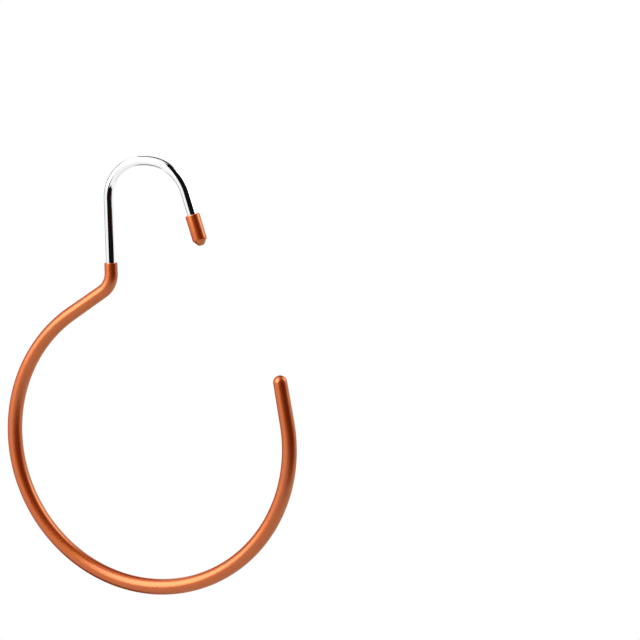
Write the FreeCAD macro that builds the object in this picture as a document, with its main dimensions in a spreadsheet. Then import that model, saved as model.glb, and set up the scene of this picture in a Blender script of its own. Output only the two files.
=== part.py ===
import FreeCAD, Part
import Sketcher
import math
import os

# Scarf hanger: one plated steel wire bent in a plane, a vinyl coating over its open ring
# and a vinyl cap on the tip of its hook.
# The origin is the saddle, the underside of the hook's crown, which carries the hanger's weight.
# +X points to the hook's open side, the front, +Y square to the hanger's plane, and +Z up.

# Driving dimensions, in millimetres and degrees
driving = {
    "wire_diameter": 4.0,
    "hook_back_radius": 13.8,        # inside of the hook, shank to saddle
    "hook_crown_run": 1.6,           # straight top of the hook, from the saddle to the front bend
    "hook_front_radius": 16.1,       # inside of the hook, crown to leg
    "hook_flare": 16.5,              # lean of the hook's leg, outwards from vertical
    "hook_leg": 19.9,                # straight leg, front bend to wire tip
    "hook_tip_bevel": 0.5,           # bevel on the cut wire inside the cap
    "shank_length": 31.0,            # straight shank, back bend to neck
    "neck_radius": 9.4,              # neck bend, on the wire's centre line
    "neck_lean": 57.0,               # lean of the run below the neck, from vertical
    "neck_run": 17.7,                # straight run, neck bend to ring
    "ring_radius": 62.5,             # ring, on the wire's centre line
    "ring_end_lean": 8.6,            # lean of the ring's free end, inwards from vertical
    "ring_end_run": 17.2,            # straight free end, up to the centre of its round tip
    "coating_rise": 4.3,             # coating on the shank, above the neck bend
    "coating_rim_wall": 0.7,         # vinyl thickness at the open rim
    "coating_shoulder_wall": 0.95,   # where the run meets the ring
    "coating_bottom_wall": 1.3,      # lowest point of the ring
    "coating_front_wall": 1.05,      # where the ring meets its free end
    "coating_tip_wall": 0.9,         # around the round tip
    "coating_rim_round": 0.15,
    "cap_wall": 1.0,
    "cap_depth": 10.5,               # wire inside the cap
    "cap_nose": 2.7,                 # solid nose below the wire's tip
    "cap_bevel": 2.5,                # height of the nose's bevel
    "cap_bevel_angle": 38.0,         # slope of the bevel, inwards from the cap's side
    "cap_bevel_round": 1.2,
    "cap_lip_round": 0.5,
    "vinyl_fit": 0.02,               # gap all round between wire and vinyl
}

tolerance = 0.001                    # how near two lengths or points count as the same

doc = FreeCAD.newDocument("scarf_hanger")
sheet = doc.addObject("Spreadsheet::Sheet", "sizes")
for row, (name, value) in enumerate(driving.items(), start=1):
    sheet.set("A%d" % row, name)
    sheet.set("B%d" % row, str(value))
    sheet.setAlias("B%d" % row, name)
doc.recompute()


def size(name):
    return sheet.get(name)


# Expressions in the sheet's aliases that several features share
wire_radius = "sizes.wire_diameter / 2"
bore_radius = "sizes.wire_diameter / 2 + sizes.vinyl_fit"
shank_offset = "sizes.hook_back_radius + sizes.wire_diameter / 2"
neck_depth = "sizes.hook_back_radius + sizes.shank_length"
neck_turn = "sizes.neck_lean * 1 deg"
end_turn = "sizes.ring_end_lean * 1 deg"
flare_turn = "sizes.hook_flare * 1 deg"
ring_centre_x = (
    f"((sizes.ring_radius + sizes.neck_radius) * cos({neck_turn}) - sizes.neck_run * sin({neck_turn})"
    f" - sizes.neck_radius - ({shank_offset}))"
)
ring_centre_z = (
    f"(0 - (sizes.ring_radius + sizes.neck_radius) * sin({neck_turn}) - sizes.neck_run * cos({neck_turn})"
    f" - ({neck_depth}))"
)
front_x = f"({ring_centre_x} + sizes.ring_radius * cos({end_turn}))"
front_z = f"({ring_centre_z} + sizes.ring_radius * sin({end_turn}))"

# Places along the wire's centre line: x, z and a turn about Y that faces back up the wire
shank_top = (f"-({shank_offset})", "-sizes.hook_back_radius", "0")
rim = (f"-({shank_offset})", f"sizes.coating_rise - ({neck_depth})", "0")
ring_start = (
    f"{ring_centre_x} - sizes.ring_radius * cos({neck_turn})",
    f"{ring_centre_z} + sizes.ring_radius * sin({neck_turn})",
    "sizes.neck_lean",
)
hook_tip = (
    f"sizes.hook_crown_run + (sizes.hook_front_radius + {wire_radius}) * cos({flare_turn})"
    f" + sizes.hook_leg * sin({flare_turn})",
    f"(sizes.hook_front_radius + {wire_radius}) * sin({flare_turn}) - sizes.hook_leg * cos({flare_turn})"
    f" - sizes.hook_front_radius",
    "360 - sizes.hook_flare",
)
ring_bottom = (ring_centre_x, f"{ring_centre_z} - sizes.ring_radius", "270")
ring_front = (front_x, front_z, "180 - sizes.ring_end_lean")
ring_tip = (
    f"{front_x} - sizes.ring_end_run * sin({end_turn})",
    f"{front_z} + sizes.ring_end_run * cos({end_turn})",
    "180 - sizes.ring_end_lean",
)


def new_body(name):
    body = doc.addObject("PartDesign::Body", name)
    body.Label = name
    return body


def attach(body, feature, role):
    plane = next(datum for datum in body.Origin.OriginFeatures if datum.Role == role)
    feature.AttachmentSupport = [(plane, "")]
    feature.MapMode = "FlatFace"


def new_sketch(body, name, role):
    sketch = body.newObject("Sketcher::SketchObject", name)
    attach(body, sketch, role)
    return sketch


def seat(feature, place):
    x, z, turn = place
    upright = FreeCAD.Rotation(FreeCAD.Vector(0, 1, 0), 90)
    feature.AttachmentOffset = FreeCAD.Placement(FreeCAD.Vector(), upright)
    feature.setExpression("AttachmentOffset.Base.x", x)
    feature.setExpression("AttachmentOffset.Base.z", z)
    feature.setExpression("AttachmentOffset.Rotation.Angle", turn)


def constrain(sketch, kind, *where, expression=None):
    index = sketch.addConstraint(Sketcher.Constraint(kind, *where))
    if expression:
        sketch.setExpression("Constraints[%d]" % index, expression)


def point(x, z):
    return FreeCAD.Vector(x, z, 0)


def arc(centre, radius, start, end):
    circle = Part.Circle(centre, FreeCAD.Vector(0, 0, 1), radius)
    return Part.ArcOfCircle(circle, math.radians(start), math.radians(end))


def polar(centre, radius, angle):
    turn = math.radians(angle)
    return centre + FreeCAD.Vector(radius * math.cos(turn), radius * math.sin(turn), 0)


def hook_path(body):
    sketch = new_sketch(body, "hook_path", "XZ_Plane")
    back_radius = size("hook_back_radius") + size("wire_diameter") / 2
    front_radius = size("hook_front_radius") + size("wire_diameter") / 2
    back_centre = point(0, -size("hook_back_radius"))
    front_centre = point(size("hook_crown_run"), -size("hook_front_radius"))
    saddle_top = point(0, size("wire_diameter") / 2)
    crown_end = point(size("hook_crown_run"), size("wire_diameter") / 2)
    leg_top = polar(front_centre, front_radius, size("hook_flare"))
    leg_tip = polar(leg_top, size("hook_leg"), size("hook_flare") - 90)
    back = sketch.addGeometry(arc(back_centre, back_radius, 90, 180))
    crown = sketch.addGeometry(Part.LineSegment(saddle_top, crown_end))
    front = sketch.addGeometry(arc(front_centre, front_radius, size("hook_flare"), 90))
    leg = sketch.addGeometry(Part.LineSegment(leg_top, leg_tip))
    constrain(sketch, "PointOnObject", back, 3, -2)
    constrain(sketch, "PointOnObject", back, 1, -2)
    constrain(sketch, "Coincident", back, 1, crown, 1)
    constrain(sketch, "Horizontal", crown)
    constrain(sketch, "Distance", crown, size("hook_crown_run"), expression="sizes.hook_crown_run")
    constrain(sketch, "Tangent", crown, 2, front, 2)
    constrain(sketch, "Horizontal", back, 2, back, 3)
    constrain(sketch, "DistanceY", -1, 1, back, 1, size("wire_diameter") / 2, expression=wire_radius)
    constrain(sketch, "Radius", back, back_radius, expression="sizes.hook_back_radius + " + wire_radius)
    constrain(sketch, "Radius", front, front_radius, expression="sizes.hook_front_radius + " + wire_radius)
    constrain(sketch, "Tangent", front, 1, leg, 1)
    leg_angle = math.radians(size("hook_flare") - 90)
    constrain(sketch, "Angle", leg, leg_angle, expression="sizes.hook_flare - 90")
    constrain(sketch, "Distance", leg, size("hook_leg"), expression="sizes.hook_leg")
    return sketch


def ring_path(body, name, top_run):
    # From the shank through the neck and round the ring, starting top_run above the neck bend
    sketch = new_sketch(body, name, "XZ_Plane")
    lean = size("neck_lean")
    offset = size("hook_back_radius") + size("wire_diameter") / 2
    neck = point(-offset, -size("hook_back_radius") - size("shank_length"))
    neck_centre = neck - FreeCAD.Vector(size("neck_radius"), 0, 0)
    run_top = polar(neck_centre, size("neck_radius"), -lean)
    run_end = polar(run_top, size("neck_run"), -90 - lean)
    ring_centre = polar(run_end, size("ring_radius"), -lean)
    ring_end = polar(ring_centre, size("ring_radius"), size("ring_end_lean"))
    tip = polar(ring_end, size("ring_end_run"), 90 + size("ring_end_lean"))
    top = neck + FreeCAD.Vector(0, size(top_run), 0)
    shank = sketch.addGeometry(Part.LineSegment(top, neck))
    bend = sketch.addGeometry(arc(neck_centre, size("neck_radius"), -lean, 0))
    run = sketch.addGeometry(Part.LineSegment(run_end, run_top))
    back = sketch.addGeometry(arc(ring_centre, size("ring_radius"), 180 - lean, 270))
    front = sketch.addGeometry(arc(ring_centre, size("ring_radius"), 270, 360 + size("ring_end_lean")))
    end = sketch.addGeometry(Part.LineSegment(ring_end, tip))
    constrain(sketch, "Vertical", shank)
    constrain(sketch, "DistanceX", shank, 2, -1, 1, offset, expression=shank_offset)
    constrain(sketch, "DistanceY", shank, 2, -1, 1, -neck.y, expression=neck_depth)
    constrain(sketch, "Distance", shank, size(top_run), expression="sizes." + top_run)
    constrain(sketch, "Tangent", shank, 2, bend, 2)
    constrain(sketch, "Radius", bend, size("neck_radius"), expression="sizes.neck_radius")
    constrain(sketch, "Tangent", bend, 1, run, 2)
    constrain(sketch, "Angle", run, math.radians(90 - lean), expression="90 - sizes.neck_lean")
    constrain(sketch, "Distance", run, size("neck_run"), expression="sizes.neck_run")
    constrain(sketch, "Tangent", run, 1, back, 1)
    constrain(sketch, "Radius", back, size("ring_radius"), expression="sizes.ring_radius")
    constrain(sketch, "Vertical", back, 2, back, 3)
    constrain(sketch, "Coincident", back, 3, front, 3)
    constrain(sketch, "Coincident", back, 2, front, 1)
    constrain(sketch, "Tangent", front, 2, end, 1)
    end_angle = math.radians(90 + size("ring_end_lean"))
    constrain(sketch, "Angle", end, end_angle, expression="90 + sizes.ring_end_lean")
    constrain(sketch, "Distance", end, size("ring_end_run"), expression="sizes.ring_end_run")
    return sketch


def round_section(body, name, place, radius):
    sketch = new_sketch(body, name, "XY_Plane")
    seat(sketch, place)
    circle = sketch.addGeometry(Part.Circle(point(0, 0), FreeCAD.Vector(0, 0, 1), 1))
    constrain(sketch, "Coincident", circle, 3, -1, 1)
    constrain(sketch, "Radius", circle, 1, expression=radius)
    return sketch


def pipe(body, kind, name, path, edges, sections):
    feature = body.newObject("PartDesign::" + kind, name)
    feature.Profile = sections[0]
    feature.Spine = (path, edges)
    if len(sections) > 1:
        feature.Transformation = "Multisection"
        feature.Sections = [(sketch, [""]) for sketch in sections[1:]]
    doc.recompute()


def round_tip(body, kind, name, radius):
    # Half ball that closes a round bar or bore at the ring's free end
    ball = body.newObject("PartDesign::" + kind, name)
    attach(body, ball, "XY_Plane")
    seat(ball, ring_tip)
    ball.setExpression("Radius", radius)
    ball.Angle1 = -90
    ball.Angle2 = 0
    doc.recompute()


def circle_edges(feature, centre, radius):
    # Names of the feature's full circles of this radius about this centre
    names = []
    for index, edge in enumerate(feature.Shape.Edges, start=1):
        off_centre = (edge.CenterOfMass - centre).Length
        off_length = abs(edge.Length - 2 * math.pi * radius)
        if edge.isClosed() and max(off_centre, off_length) < tolerance:
            names.append("Edge%d" % index)
    return names


def dress(body, kind, name, edges, amount):
    base = body.Tip
    feature = body.newObject("PartDesign::" + kind, name)
    feature.Base = (base, edges)
    feature.setExpression("Size" if kind == "Chamfer" else "Radius", amount)
    doc.recompute()


def build_wire():
    body = new_body("steel_wire")
    hook = hook_path(body)
    ring = ring_path(body, "ring_path", "shank_length")
    section = round_section(body, "wire_section", shank_top, wire_radius)
    doc.recompute()
    pipe(body, "AdditivePipe", "bent_hook", hook, [], [section])
    pipe(body, "AdditivePipe", "bent_ring", ring, [], [section])
    round_tip(body, "AdditiveSphere", "ring_end", wire_radius)
    leg_tip = min((vertex.Point for vertex in hook.Shape.Vertexes), key=lambda corner: corner.z)
    cut_end = circle_edges(body.Tip, leg_tip, size("wire_diameter") / 2)
    dress(body, "Chamfer", "hook_end", cut_end, "sizes.hook_tip_bevel")
    return body


def build_coating():
    body = new_body("ring_coating")
    path = ring_path(body, "coating_path", "coating_rise")
    stations = {
        "rim": rim,
        "shoulder": ring_start,
        "bottom": ring_bottom,
        "front": ring_front,
        "tip": ring_tip,
    }
    sections = {}
    for name, place in stations.items():
        radius = f"{bore_radius} + sizes.coating_{name}_wall"
        sections[name] = round_section(body, f"{name}_section", place, radius)
    bore = round_section(body, "bore_section", rim, bore_radius)
    doc.recompute()
    stretches = {
        "dipped_neck": (["Edge1", "Edge2", "Edge3"], ["rim", "shoulder"]),
        "dipped_back": (["Edge4"], ["shoulder", "bottom"]),
        "dipped_front": (["Edge5"], ["bottom", "front"]),
        "dipped_end": (["Edge6"], ["front", "tip"]),
    }
    for name, (edges, names) in stretches.items():
        pipe(body, "AdditivePipe", name, path, edges, [sections[station] for station in names])
    round_tip(body, "AdditiveSphere", "dipped_tip", f"{bore_radius} + sizes.coating_tip_wall")
    pipe(body, "SubtractivePipe", "wire_bore", path, [], [bore])
    round_tip(body, "SubtractiveSphere", "bore_tip", bore_radius)
    rim_radius = size("wire_diameter") / 2 + size("vinyl_fit") + size("coating_rim_wall")
    rim_edge = circle_edges(body.Tip, sections["rim"].Placement.Base, rim_radius)
    dress(body, "Fillet", "soft_rim", rim_edge, "sizes.coating_rim_round")
    return body


def build_cap():
    # Turned about its own axis, with the wire's tip at its origin and its nose down
    body = new_body("hook_tip_cap")
    sketch = new_sketch(body, "cap_profile", "XZ_Plane")
    bore = size("wire_diameter") / 2 + size("vinyl_fit")
    side = bore + size("cap_wall")
    bevel = size("cap_bevel") * math.tan(math.radians(size("cap_bevel_angle")))
    corners = [
        point(0, -size("cap_nose")),
        point(side - bevel, -size("cap_nose")),
        point(side, size("cap_bevel") - size("cap_nose")),
        point(side, size("cap_depth")),
        point(bore, size("cap_depth")),
        point(bore, 0),
        point(0, 0),
    ]
    edges = []
    for index, corner in enumerate(corners):
        following = corners[(index + 1) % len(corners)]
        edges.append(sketch.addGeometry(Part.LineSegment(corner, following)))
    for index, edge in enumerate(edges):
        constrain(sketch, "Coincident", edge, 2, edges[(index + 1) % len(edges)], 1)
    nose, slope, outside, lip, inside, floor, axis = edges
    for edge in (nose, lip, floor):
        constrain(sketch, "Horizontal", edge)
    for edge in (outside, inside, axis):
        constrain(sketch, "Vertical", edge)
    constrain(sketch, "Coincident", axis, 1, -1, 1)
    constrain(sketch, "Distance", axis, size("cap_nose"), expression="sizes.cap_nose")
    constrain(sketch, "Distance", inside, size("cap_depth"), expression="sizes.cap_depth")
    constrain(sketch, "Distance", floor, bore, expression=bore_radius)
    constrain(sketch, "Distance", lip, size("cap_wall"), expression="sizes.cap_wall")
    constrain(sketch, "DistanceY", slope, 1, slope, 2, size("cap_bevel"), expression="sizes.cap_bevel")
    bevel_angle = math.radians(90 - size("cap_bevel_angle"))
    constrain(sketch, "Angle", slope, bevel_angle, expression="90 - sizes.cap_bevel_angle")
    doc.recompute()
    turned = body.newObject("PartDesign::Revolution", "turned_cap")
    turned.Profile = sketch
    turned.ReferenceAxis = (sketch, ["V_Axis"])
    turned.Angle = 360
    doc.recompute()
    ends = {-size("cap_nose"): side - bevel, size("cap_bevel") - size("cap_nose"): side}
    nose_edges = []
    for height, radius in ends.items():
        nose_edges += circle_edges(body.Tip, FreeCAD.Vector(0, 0, height), radius)
    dress(body, "Fillet", "soft_nose", nose_edges, "sizes.cap_bevel_round")
    lip_edge = circle_edges(body.Tip, FreeCAD.Vector(0, 0, size("cap_depth")), side)
    dress(body, "Fillet", "soft_lip", lip_edge, "sizes.cap_lip_round")
    body.Placement = FreeCAD.Placement(FreeCAD.Vector(), FreeCAD.Rotation(FreeCAD.Vector(0, 1, 0), 90))
    x, z, turn = hook_tip
    body.setExpression("Placement.Base.x", x)
    body.setExpression("Placement.Base.z", z)
    body.setExpression("Placement.Rotation.Angle", turn)
    return body


def check(bodies):
    for feature in doc.Objects:
        if "Invalid" in feature.State or "Error" in feature.State:
            raise RuntimeError("%s failed: %s" % (feature.Name, feature.State))
    for body in bodies:
        shape = body.Shape
        if shape.isNull() or not shape.isValid() or len(shape.Solids) != 1:
            raise RuntimeError("%s is not one sound solid" % body.Label)


bodies = [build_wire(), build_coating(), build_cap()]
doc.recompute()
check(bodies)
os.makedirs("parts", exist_ok=True)
for body in bodies:
    body.Shape.exportStep("parts/%s.step" % body.Label)
    box = body.Shape.optimalBoundingBox()
    print("%s: %.1f mm3, x %.2f to %.2f, y %.2f to %.2f, z %.2f to %.2f" % (
        body.Label, body.Shape.Volume, box.XMin, box.XMax, box.YMin, box.YMax, box.ZMin, box.ZMax))
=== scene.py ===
import bpy
import math
from mathutils import Matrix, Vector


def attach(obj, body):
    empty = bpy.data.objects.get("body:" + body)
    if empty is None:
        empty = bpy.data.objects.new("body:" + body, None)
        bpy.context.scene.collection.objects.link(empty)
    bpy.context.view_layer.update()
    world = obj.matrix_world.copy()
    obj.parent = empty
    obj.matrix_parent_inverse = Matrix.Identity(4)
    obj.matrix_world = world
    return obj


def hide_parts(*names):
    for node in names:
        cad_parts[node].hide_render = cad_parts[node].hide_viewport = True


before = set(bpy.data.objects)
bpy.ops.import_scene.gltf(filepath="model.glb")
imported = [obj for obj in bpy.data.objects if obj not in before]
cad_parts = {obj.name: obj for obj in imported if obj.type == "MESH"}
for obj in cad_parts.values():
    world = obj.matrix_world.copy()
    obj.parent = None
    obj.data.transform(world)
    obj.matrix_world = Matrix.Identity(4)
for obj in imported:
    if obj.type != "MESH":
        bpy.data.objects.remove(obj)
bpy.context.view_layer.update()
scene = bpy.context.scene
scene.view_settings.view_transform = "Standard"
mm = 0.001
tiny = 1e-6                            # millimetres that count as nothing
white = (1.0, 1.0, 1.0, 1.0)
print("frame loaded:", sorted(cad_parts))

# The bent line that all three pieces follow, from the wire's tip in the cap to the ring's free end.
# Here and in the pieces' own settings, lengths are millimetres and angles are degrees.
bentLine = {
    "wireRadius": 2.0,
    "legRun": 19.9,
    "hookFlare": 16.5,                 # how far the leg leans out
    "frontBend": 18.1,                 # bend radii are on the centre line
    "crownRun": 1.6,
    "backBend": 15.8,
    "shankRun": 31.0,
    "neckBend": 9.4,
    "neckLean": 57.0,
    "neckRun": 17.7,
    "ringBend": 62.5,
    "ringTurn": 245.6,
    "endRun": 17.2,
}


def moveAlong(stretch, distance):
    # place and heading at a distance along one run or bend
    heading = stretch["heading"] + stretch["curl"] * distance
    if stretch["curl"] == 0:
        x = stretch["x"] + distance * math.cos(heading)
        z = stretch["z"] + distance * math.sin(heading)
    else:
        x = stretch["x"] + (math.sin(heading) - math.sin(stretch["heading"])) / stretch["curl"]
        z = stretch["z"] - (math.cos(heading) - math.cos(stretch["heading"])) / stretch["curl"]
    return x, z, heading


def layLine(line):
    flare = math.radians(line["hookFlare"])
    toLowest = 90.0 + line["neckLean"]  # degrees of ring before its lowest point
    x = line["crownRun"] + line["frontBend"] * math.cos(flare)
    x += line["legRun"] * math.sin(flare)
    z = line["wireRadius"] - line["frontBend"] + line["frontBend"] * math.sin(flare)
    z -= line["legRun"] * math.cos(flare)
    heading = math.radians(90.0 + line["hookFlare"])
    moves = [                          # length or radius, then degrees to the left
        ("leg", line["legRun"], 0.0),
        ("front", line["frontBend"], 90.0 - line["hookFlare"]),
        ("crown", line["crownRun"], 0.0),
        ("back", line["backBend"], 90.0),
        ("shank", line["shankRun"], 0.0),
        ("neck", line["neckBend"], -line["neckLean"]),
        ("run", line["neckRun"], 0.0),
        ("ringBack", line["ringBend"], toLowest),
        ("ringFront", line["ringBend"], line["ringTurn"] - toLowest),
        ("end", line["endRun"], 0.0),
    ]
    laid = {}
    travelled = 0.0
    for name, reach, turn in moves:
        turn = math.radians(turn)
        length = abs(turn) * reach if turn else reach
        laid[name] = {"from": travelled, "to": travelled + length, "curl": turn / length,
                      "x": x, "z": z, "heading": heading}
        x, z, heading = moveAlong(laid[name], length)
        travelled += length
    return laid


laid = layLine(bentLine)
print("bent line laid:", round(laid["end"]["to"], 1), "mm")

# How finely a skin is laid round the line, and how it unrolls on the OFBake map
tube = {
    "sides": 72,
    "bendStep": 1.6,                   # degrees between two sections of a bend
    "runStep": 2.0,                    # between two sections of a straight run
    "cornerSteps": 6,
    "domeSteps": 12,
    "hiddenShare": 0.1,                # room for hidden skin on the map
    "stripGap": 0.03,                  # clear share at the edges of the map's strips
}


def placeAt(distance):
    stretches = list(laid.values())
    stretch = next((part for part in stretches if distance <= part["to"]), stretches[-1])
    return moveAlong(stretch, distance - stretch["from"])


def sectionsBetween(first, last):
    # distances of the sections from first to last, close together in the bends
    found = [first]
    for stretch in laid.values():
        length = stretch["to"] - stretch["from"]
        turn = math.degrees(abs(stretch["curl"])) * length
        count = math.ceil(turn / tube["bendStep"] if turn else length / tube["runStep"])
        for index in range(count + 1):
            distance = stretch["from"] + length * index / count
            if found[-1] + tiny < distance < last - tiny:
                found.append(distance)
    return found + [last]


def softCorners(profile):
    # profile points are (distance, radius, rounding); a rounded corner becomes a short arc
    steps = tube["cornerSteps"]
    points = []
    for index, (along, radius, rounding) in enumerate(profile):
        here = Vector((along, radius))
        if not rounding:
            points.append(here)
            continue
        before = (Vector(profile[index - 1][:2]) - here).normalized()
        after = (Vector(profile[index + 1][:2]) - here).normalized()
        half = before.angle(after) / 2
        centre = here + (before + after).normalized() * rounding / math.sin(half)
        start = (here + before * rounding / math.tan(half) - centre).normalized()
        end = (here + after * rounding / math.tan(half) - centre).normalized()
        for step in range(steps + 1):
            points.append(centre + start.slerp(end, step / steps) * rounding)
    return [(point.x, point.y) for point in points]


def dome(along, radius):
    # half ball that closes a tube, from above its rim to its pole
    steps = tube["domeSteps"]
    points = []
    for step in range(1, steps):
        angle = math.pi / 2 * step / steps
        points.append((along + radius * math.sin(angle), radius * math.cos(angle)))
    return points + [(along + radius, 0.0)]


def inset(share):
    gap = tube["stripGap"]
    return gap + (1.0 - 2.0 * gap) * share


def unroll(profile, isHidden):
    # how far the skin has run at each section, in full and with little room for what never shows
    travelled, unrolled = [0.0], [0.0]
    for (alongA, radiusA), (alongB, radiusB) in zip(profile, profile[1:]):
        step = math.hypot(alongB - alongA, radiusB - radiusA)
        hidden = isHidden(alongA, radiusA) and isHidden(alongB, radiusB)
        travelled.append(travelled[-1] + step)
        unrolled.append(unrolled[-1] + step * (tube["hiddenShare"] if hidden else 1.0))
    return travelled, unrolled


def sweep(name, profile, isHidden):
    # skins (distance, radius) sections along the bent line; a radius of nothing closes the skin
    sides = tube["sides"]
    near = Vector((0.0, -1.0, 0.0))
    points, rows = [], []
    for along, radius in profile:
        x, z, heading = placeAt(along)
        middle = Vector((x, 0.0, z))
        left = Vector((-math.sin(heading), 0.0, math.cos(heading)))
        first = len(points)
        if radius < tiny:
            points.append(middle * mm)
            rows.append([first] * sides)
            continue
        for side in range(sides):
            angle = 2 * math.pi * side / sides
            spoke = left * math.cos(angle) + near * math.sin(angle)
            points.append((middle + radius * spoke) * mm)
        rows.append(list(range(first, first + sides)))
    travelled, unrolled = unroll(profile, isHidden)
    widest = max(radius for along, radius in profile)
    strips = max(1, round(math.sqrt(unrolled[-1] / (2 * math.pi * widest))))
    stripLength = unrolled[-1] / strips
    faces, spots, bakeSpots = [], [], []
    for row in range(len(rows) - 1):
        strip = min(strips - 1, int((unrolled[row] + unrolled[row + 1]) / 2 / stripLength))
        for side in range(sides):
            following = (side + 1) % sides
            corners = [(rows[row][side], side, row), (rows[row][following], side + 1, row),
                       (rows[row + 1][following], side + 1, row + 1), (rows[row + 1][side], side, row + 1)]
            kept = []                  # at a pole two corners are one point
            for corner in corners:
                if corner[0] not in [other[0] for other in kept]:
                    kept.append(corner)
            faces.append([point for point, turn, level in kept])
            for point, turn, level in kept:
                spots.append((turn / sides, travelled[level] * mm))
                bakeSpots.append(((strip + inset(turn / sides)) / strips,
                                  inset(unrolled[level] / stripLength - strip)))
    mesh = bpy.data.meshes.new(name)
    mesh.from_pydata(points, [], faces)
    # sweep is the turn about the line, then metres along the skin; OFBake is the skin in strips
    for layer, places in (("sweep", spots), ("OFBake", bakeSpots)):
        for loop, place in zip(mesh.uv_layers.new(name=layer).data, places):
            loop.uv = place
    mesh.shade_smooth()
    mesh.validate()
    piece = bpy.data.objects.new(name, mesh)
    scene.collection.objects.link(piece)
    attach(piece, "root")
    print(name, "swept:", len(points), "points,", len(faces), "faces")
    return piece


class Tap:
    # one socket that takes part in plain arithmetic
    def __init__(self, tree, socket=None):
        self.tree = tree
        self.socket = socket

    def node(self, kind, settings, sockets, out=0):
        made = self.tree.nodes.new(kind)
        for name, value in settings.items():
            setattr(made, name, value)
        for name, value in sockets.items():
            if isinstance(value, Tap):
                self.tree.links.new(value.socket, made.inputs[name])
            else:
                made.inputs[name].default_value = value
        return Tap(self.tree, made.outputs[out] if len(made.outputs) else None)

    def maths(self, operation, first, second):
        return self.node("ShaderNodeMath", {"operation": operation}, {0: first, 1: second})

    def __add__(self, other):
        return self.maths("ADD", self, other)

    def __radd__(self, other):
        return self.maths("ADD", other, self)

    def __sub__(self, other):
        return self.maths("SUBTRACT", self, other)

    def __rsub__(self, other):
        return self.maths("SUBTRACT", other, self)

    def __mul__(self, other):
        return self.maths("MULTIPLY", self, other)

    def __rmul__(self, other):
        return self.maths("MULTIPLY", other, self)


def newFinish(name):
    material = bpy.data.materials.new(name)
    material.use_nodes = True
    material.node_tree.nodes.clear()
    return material, Tap(material.node_tree)


def blendColours(tap, share, first, second):
    # 6 and 7 are the Mix node's colour sockets, and 2 is its colour out
    return tap.node("ShaderNodeMix", {"data_type": "RGBA"}, {0: share, 6: first, 7: second}, 2)


noiseMiddle = 0.5                      # the value that a noise varies about


def noise(tap, spot, scale, detail):
    return tap.node("ShaderNodeTexNoise", {}, {"Vector": spot, "Scale": scale, "Detail": detail})


def perMetre(spacing):
    return 1.0 / (spacing * mm)


def aroundAndAlong(tap, stretch):
    # the sweep's turn as a circle, so that streaks along the piece meet without a seam
    spot = tap.node("ShaderNodeUVMap", {"uv_map": "sweep"}, {}, "UV")
    split = tap.node("ShaderNodeSeparateXYZ", {}, {0: spot})
    along = Tap(tap.tree, split.socket.node.outputs[1])
    turn = split * (2 * math.pi)
    return tap.node("ShaderNodeCombineXYZ", {}, {
        0: tap.node("ShaderNodeMath", {"operation": "COSINE"}, {0: turn}),
        1: tap.node("ShaderNodeMath", {"operation": "SINE"}, {0: turn}),
        2: along * stretch,
    })


chromePlate = {
    "colour": (0.93, 0.935, 0.94, 1.0),
    "smear": (0.88, 0.89, 0.905, 1.0),  # faint cooler patches in the plating
    "patches": 160.0,                  # to a metre
    "patchDetail": 4.0,
    "roughness": 0.045,
    "roughnessSpread": 0.05,
    "drawLines": 9.0,                  # fine lines left by wire drawing, round the wire
    "lineStretch": 14.0,               # less makes the lines longer
    "lineDetail": 3.0,
    "lineBump": 0.02,
    "lineDepth": 0.02,
}


def makeChromePlate():
    material, tap = newFinish("chromePlate")
    lines = noise(tap, aroundAndAlong(tap, chromePlate["lineStretch"]),
                  chromePlate["drawLines"], chromePlate["lineDetail"])
    place = tap.node("ShaderNodeTexCoord", {}, {}, "Object")
    patches = noise(tap, place, chromePlate["patches"], chromePlate["patchDetail"])
    colour = blendColours(tap, patches, chromePlate["colour"], chromePlate["smear"])
    roughness = chromePlate["roughness"] + (patches * lines) * chromePlate["roughnessSpread"]
    normal = tap.node("ShaderNodeBump", {}, {
        "Strength": chromePlate["lineBump"], "Distance": chromePlate["lineDepth"] * mm, "Height": lines})
    shader = tap.node("ShaderNodeBsdfPrincipled", {}, {
        "Base Color": colour, "Metallic": 1.0, "Roughness": roughness, "Normal": normal})
    tap.node("ShaderNodeOutputMaterial", {}, {"Surface": shader})
    return material


pearlVinyl = {
    "pigment": (0.355, 0.007, 0.001, 1.0),
    "pigmentDeep": (0.31, 0.005, 0.001, 1.0),
    "pigmentRoughness": 0.15,
    "pigmentGloss": 0.65,
    "pearl": (0.89, 0.300, 0.066, 1.0),
    "pearlWarm": (0.86, 0.272, 0.056, 1.0),
    "pearlEdge": (0.80, 0.42, 0.26, 1.0),  # what glancing light keeps of its colour
    "pearlRoughness": 0.40,
    "pearlCover": 0.42,                # share of the skin that the metallic pigment covers
    "coverSpread": 0.04,
    "roughnessSpread": 0.05,
    "clouds": 85.0,                    # to a metre
    "cloudDetail": 3.0,
    "streaks": 2.4,                    # round the piece
    "streakStretch": 45.0,             # less makes the streaks longer
    "streakDetail": 4.0,
    "flake": 0.16,
    "wave": 4.5,                       # between the slow swells of the dipped skin
    "waveDetail": 1.0,
    "peel": 0.7,                       # between its fine dimples
    "peelDetail": 2.0,
    "waveHeight": 0.7,                 # each height is a share of bumpDepth
    "peelHeight": 0.05,
    "flakeHeight": 0.006,
    "bumpDepth": 0.05,
}


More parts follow.
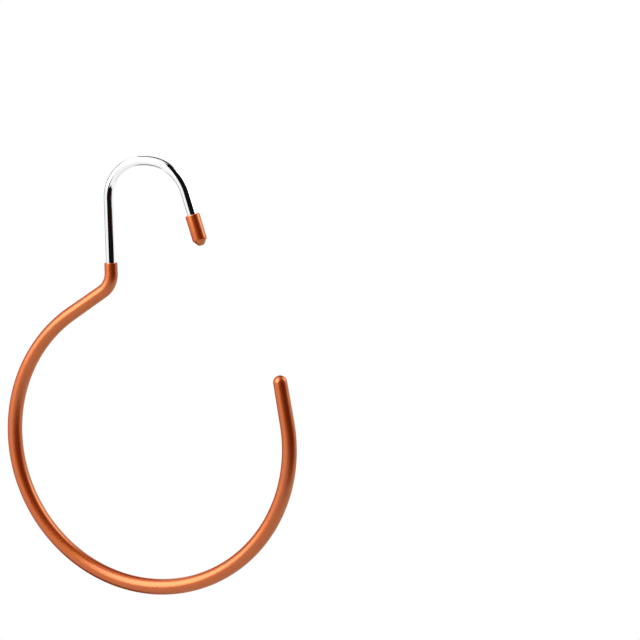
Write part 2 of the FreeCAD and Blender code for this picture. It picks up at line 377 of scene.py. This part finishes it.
def makePearlVinyl():
    material, tap = newFinish("pearlVinyl")
    place = tap.node("ShaderNodeTexCoord", {}, {}, "Object")
    flakes = tap.node("ShaderNodeTexVoronoi", {"feature": "F1"}, {
        "Vector": place, "Scale": perMetre(pearlVinyl["flake"])}, "Color")
    sparkle = tap.node("ShaderNodeSeparateColor", {}, {0: flakes})
    cloud = noise(tap, place, pearlVinyl["clouds"], pearlVinyl["cloudDetail"])
    streaks = noise(tap, aroundAndAlong(tap, pearlVinyl["streakStretch"]),
                    pearlVinyl["streaks"], pearlVinyl["streakDetail"])
    uneven = sparkle + cloud + streaks - 3 * noiseMiddle
    cover = pearlVinyl["pearlCover"] + uneven * pearlVinyl["coverSpread"]
    pigment = blendColours(tap, cloud, pearlVinyl["pigment"], pearlVinyl["pigmentDeep"])
    pearl = blendColours(tap, streaks, pearlVinyl["pearl"], pearlVinyl["pearlWarm"])
    wave = noise(tap, place, perMetre(pearlVinyl["wave"]), pearlVinyl["waveDetail"])
    peel = noise(tap, place, perMetre(pearlVinyl["peel"]), pearlVinyl["peelDetail"])
    height = wave * pearlVinyl["waveHeight"] + peel * pearlVinyl["peelHeight"]
    height = height + sparkle * pearlVinyl["flakeHeight"]
    normal = tap.node("ShaderNodeBump", {}, {
        "Strength": 1.0, "Distance": pearlVinyl["bumpDepth"] * mm, "Height": height})
    under = tap.node("ShaderNodeBsdfPrincipled", {}, {
        "Base Color": pigment, "Specular IOR Level": pearlVinyl["pigmentGloss"],
        "Roughness": pearlVinyl["pigmentRoughness"] + cloud * pearlVinyl["roughnessSpread"],
        "Normal": normal})
    over = tap.node("ShaderNodeBsdfPrincipled", {}, {
        "Base Color": pearl, "Metallic": 1.0, "Specular Tint": pearlVinyl["pearlEdge"],
        "Roughness": pearlVinyl["pearlRoughness"] + (streaks - noiseMiddle) * pearlVinyl["roughnessSpread"],
        "Normal": normal})
    shader = tap.node("ShaderNodeMixShader", {}, {0: cover, 1: under, 2: over})
    tap.node("ShaderNodeOutputMaterial", {}, {"Surface": shader})
    return material


finishes = {"chrome_wire": makeChromePlate(), "orange_vinyl": makePearlVinyl()}
print("finishes made:", sorted(finishes))


def dress(piece, node, slot):
    piece.data.materials.append(finishes[slot])
    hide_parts(node)


wire = {
    "tipBevel": 0.5,
}


def makeWire():
    radius, bevel = bentLine["wireRadius"], wire["tipBevel"]
    ringTip = laid["end"]["to"]
    profile = [(0.0, 0.0), (0.0, radius - bevel)]
    profile += [(along, radius) for along in sectionsBetween(bevel, ringTip)]
    profile += dome(ringTip, radius)
    coated = laid["shank"]["to"] - coating["rise"]
    piece = sweep("steelWire", profile, lambda along, radius: along < cap["depth"] or along > coated)
    dress(piece, "steel_wire", "chrome_wire")


coating = {
    "bore": 2.02,
    "rise": 4.3,                       # coating on the shank, above the neck bend
    "rimWall": 0.7,
    "shoulderWall": 0.95,              # where the run meets the ring
    "bottomWall": 1.3,
    "frontWall": 1.05,                 # where the ring meets its free end
    "tipWall": 0.9,
    "rimRound": 0.15,
}


def coatingRadius(along, stations):
    # the wall grows evenly from one station to the next
    for (startAt, startWall), (endAt, endWall) in zip(stations, stations[1:]):
        if along <= endAt:
            share = (along - startAt) / (endAt - startAt)
            return coating["bore"] + startWall + (endWall - startWall) * share


def makeCoating():
    bore = coating["bore"]
    rim = laid["shank"]["to"] - coating["rise"]
    tip = laid["end"]["to"]
    stations = [
        (rim, coating["rimWall"]),
        (laid["run"]["to"], coating["shoulderWall"]),
        (laid["ringBack"]["to"], coating["bottomWall"]),
        (laid["ringFront"]["to"], coating["frontWall"]),
        (tip, coating["tipWall"]),
    ]
    inside = sectionsBetween(rim, tip)
    outside = [along for along in inside if along > rim + coating["rimRound"]]
    rimRadius = bore + coating["rimWall"]
    rimCorner = [(rim, bore, 0), (rim, rimRadius, coating["rimRound"]), (rim + coating["rise"], rimRadius, 0)]
    profile = list(reversed(dome(tip, bore)))
    profile += [(along, bore) for along in reversed(inside)]
    profile += softCorners(rimCorner)[1:-1]
    profile += [(along, coatingRadius(along, stations)) for along in outside]
    profile += dome(tip, bore + coating["tipWall"])

    def isLining(along, radius):
        return math.hypot(max(along - tip, 0.0), radius) < bore + tiny

    piece = sweep("ringCoating", profile, isLining)
    dress(piece, "ring_coating", "orange_vinyl")


cap = {
    "bore": 2.02,
    "wall": 1.0,
    "depth": 10.5,                     # wire inside the cap
    "nose": 2.7,                       # solid nose below the wire's tip
    "bevel": 2.5,
    "bevelAngle": 38.0,
    "bevelRound": 1.2,
    "lipRound": 0.5,
}


def makeCap():
    side = cap["bore"] + cap["wall"]
    flat = side - cap["bevel"] * math.tan(math.radians(cap["bevelAngle"]))
    profile = softCorners([
        (-cap["nose"], 0.0, 0),
        (-cap["nose"], flat, cap["bevelRound"]),
        (cap["bevel"] - cap["nose"], side, cap["bevelRound"]),
        (cap["depth"], side, cap["lipRound"]),
        (cap["depth"], cap["bore"], 0),
        (0.0, cap["bore"], 0),
        (0.0, 0.0, 0),
    ])
    piece = sweep("hookTipCap", profile, lambda along, radius: radius <= cap["bore"] and along >= 0.0)
    dress(piece, "hook_tip_cap", "orange_vinyl")


makeWire()
makeCoating()
makeCap()

shot = {
    "azimuth": 20.734,                 # degrees round the hanger, from its flat side towards its front
    "elevation": 7.879,
    "roll": -1.440,
    "saddlePixel": (142.360, 165.690),  # where the saddle falls in the frame
    "framePixels": 640.0,              # width and height of the frame
    "focalPixels": 2800.0,
    "distance": 1151.94 * mm,
    "sensor": 36.0,
    "nearest": 0.05,                   # metres
    "farthest": 60.0,
}


def lookFrom(azimuth, elevation):
    a, e = math.radians(azimuth), math.radians(elevation)
    return Vector((math.sin(a) * math.cos(e), -math.cos(a) * math.cos(e), math.sin(e)))


def makeCamera():
    back = lookFrom(shot["azimuth"], shot["elevation"])
    level = Vector((0, 0, 1)).cross(back).normalized()
    upright = back.cross(level)
    roll = math.radians(shot["roll"])
    right = math.cos(roll) * level + math.sin(roll) * upright
    up = math.cos(roll) * upright - math.sin(roll) * level
    perPixel = shot["distance"] / shot["focalPixels"]
    across, down = [pixel - shot["framePixels"] / 2 for pixel in shot["saddlePixel"]]
    offset = right * across * perPixel - up * down * perPixel
    data = bpy.data.cameras.new("shot")
    data.sensor_width = shot["sensor"]
    data.lens = shot["sensor"] * shot["focalPixels"] / shot["framePixels"]
    data.clip_start = shot["nearest"]
    data.clip_end = shot["farthest"]
    camera = bpy.data.objects.new("shot", data)
    turn = Matrix((right, up, back)).transposed().to_4x4()
    camera.matrix_world = Matrix.Translation(back * shot["distance"] - offset) @ turn
    scene.collection.objects.link(camera)
    scene.camera = camera


makeCamera()
print("camera set")

# Lengths are metres here, and angles are degrees right of the camera, then up
studio = {
    "middle": (0.0, 0.0, -0.09),       # what the lamps point at
    "floor": -0.75,
    "floorSize": 14.0,
    "floorColour": (0.86, 0.86, 0.86, 1.0),
    "floorWhite": 0.80,                # share of plain white in the floor below the hanger
    "shadowCore": 0.4,                 # floor round the hanger that keeps its whole shadow
    "shadowReach": 0.8,                # where the shadow has faded out
    "fill": 0.18,                      # even light from all round
    "keyAngle": (-59.5, 35.0),
    "keySize": (0.99, 1.12),
    "keyRoll": -9.0,                   # tip of the lamp about its own axis
    "keyAway": 0.95,
    "keyGlow": 3.5,                    # brightness of the lamp's face
    "sideAngle": (100.0, 34.0),
    "sideSize": (0.45, 0.90),
    "sideRoll": 0.0,
    "sideAway": 1.0,
    "sideGlow": 2.8,
    "frontCard": [                     # degrees up, then its left and right edges at that height
        (-27.0, 14.0, 66.0),
        (-14.0, -8.0, 86.0),
        (-8.0, -46.0, 90.0),
        (-3.0, -41.0, 87.0),
        (3.0, -36.0, 84.0),
        (9.0, -31.0, 82.0),
        (16.0, -26.0, 80.0),
        (23.0, -21.0, 74.0),
        (38.0, -14.0, 70.0),
        (54.0, -10.0, 92.0),
        (64.0, -6.0, 130.0),
        (72.0, 0.0, 150.0),
        (76.0, 20.0, 150.0),
    ],
    "highCard": [                      # behind and above, for the top of the hook
        (24.0, 170.0, 190.0),
        (38.0, 156.0, 194.0),
        (46.0, 146.0, 201.0),
        (54.0, 128.0, 204.0),
        (62.0, 112.0, 198.0),
        (70.0, 108.0, 184.0),
    ],
    "edgeCard": [                      # behind on the left, for the wire's left edge
        (-35.0, -152.0, -126.0),
        (35.0, -152.0, -126.0),
    ],
    "lowCard": [                       # behind and below, for the inside of the hook
        (-66.0, -170.0, -95.0),
        (-38.0, -155.0, -98.0),
    ],
    "cardAway": 1.3,
    "lowAway": 0.7,                    # clear of the floor
    "cardColumns": 24,
    "cardRows": 6,                     # between two heights
    "cardColour": (0.012, 0.012, 0.013, 1.0),
}


def studioPlace(side, height, away):
    return Vector(studio["middle"]) + lookFrom(shot["azimuth"] + side, height) * away


def makeLamp(name):
    width, height = studio[name + "Size"]
    data = bpy.data.lights.new(name + "Lamp", "AREA")
    data.shape = "RECTANGLE"
    data.size = width
    data.size_y = height
    data.energy = studio[name + "Glow"] * math.pi * width * height
    lamp = bpy.data.objects.new(name + "Lamp", data)
    lamp.location = studioPlace(*studio[name + "Angle"], studio[name + "Away"])
    aim = Vector(studio["middle"]) - lamp.location
    lamp.rotation_euler = aim.to_track_quat("-Z", "Y").to_euler()
    lamp.rotation_euler.rotate_axis("Z", math.radians(studio[name + "Roll"]))
    scene.collection.objects.link(lamp)


def makeCard(name, away, material):
    # a dark sheet that only reflections see
    columns, rows = studio["cardColumns"], studio["cardRows"]
    edges = studio[name]
    levels = [edges[0]]
    for lower, upper in zip(edges, edges[1:]):
        for row in range(1, rows + 1):
            levels.append([low + (high - low) * row / rows for low, high in zip(lower, upper)])
    points = []
    for height, left, right in levels:
        for column in range(columns + 1):
            points.append(studioPlace(left + (right - left) * column / columns, height, away))
    faces = []
    for row in range(len(levels) - 1):
        for column in range(columns):
            corner = row * (columns + 1) + column
            faces.append((corner, corner + 1, corner + columns + 2, corner + columns + 1))
    mesh = bpy.data.meshes.new(name)
    mesh.from_pydata(points, [], faces)
    mesh.materials.append(material)
    card = bpy.data.objects.new(name, mesh)
    scene.collection.objects.link(card)
    card.visible_camera = False
    card.visible_diffuse = False
    card.visible_transmission = False
    card.visible_shadow = False


def seenRays(tap):
    # one for a look from the camera, in a mirror or through glass, nothing for light on its way
    rays = [tap.node("ShaderNodeLightPath", {}, {}, kind)
            for kind in ("Is Camera Ray", "Is Glossy Ray", "Is Transmission Ray")]
    return tap.maths("MAXIMUM", tap.maths("MAXIMUM", rays[0], rays[1]), rays[2])


def makeFloor():
    half, height = studio["floorSize"] / 2, studio["floor"]
    mesh = bpy.data.meshes.new("floor")
    corners = [(-half, -half, height), (half, -half, height), (half, half, height), (-half, half, height)]
    mesh.from_pydata(corners, [], [(0, 1, 2, 3)])
    material, tap = newFinish("paleFloor")
    place = tap.node("ShaderNodeTexCoord", {}, {}, "Object")
    level = tap.node("ShaderNodeVectorMath", {"operation": "MULTIPLY"}, {0: place, 1: (1.0, 1.0, 0.0)})
    away = tap.node("ShaderNodeVectorMath", {"operation": "LENGTH"}, {0: level}, "Value")
    clear = tap.node("ShaderNodeMapRange", {"interpolation_type": "SMOOTHSTEP"}, {
        "Value": away, "From Min": studio["shadowCore"], "From Max": studio["shadowReach"],
        "To Min": studio["floorWhite"]})
    pale = tap.node("ShaderNodeBsdfDiffuse", {}, {"Color": studio["floorColour"]})
    plain = tap.node("ShaderNodeEmission", {}, {"Color": white, "Strength": 1.0})
    shader = tap.node("ShaderNodeMixShader", {}, {0: seenRays(tap) * clear, 1: pale, 2: plain})
    tap.node("ShaderNodeOutputMaterial", {}, {"Surface": shader})
    mesh.materials.append(material)
    floor = bpy.data.objects.new("floor", mesh)
    scene.collection.objects.link(floor)


def makeWorld():
    world = bpy.data.worlds.new("studio")
    world.use_nodes = True
    world.node_tree.nodes.clear()
    tap = Tap(world.node_tree)
    level = studio["fill"] + seenRays(tap) * (1.0 - studio["fill"])
    light = tap.node("ShaderNodeBackground", {}, {"Color": white, "Strength": level})
    tap.node("ShaderNodeOutputWorld", {}, {"Surface": light})
    scene.world = world


def makeStudio():
    material, tap = newFinish("darkCard")
    cloth = tap.node("ShaderNodeBsdfDiffuse", {}, {"Color": studio["cardColour"]})
    tap.node("ShaderNodeOutputMaterial", {}, {"Surface": cloth})
    for name in ("frontCard", "highCard", "edgeCard"):
        makeCard(name, studio["cardAway"], material)
    makeCard("lowCard", studio["lowAway"], material)
    makeLamp("key")
    makeLamp("side")
    makeFloor()
    makeWorld()


makeStudio()
print("studio set")
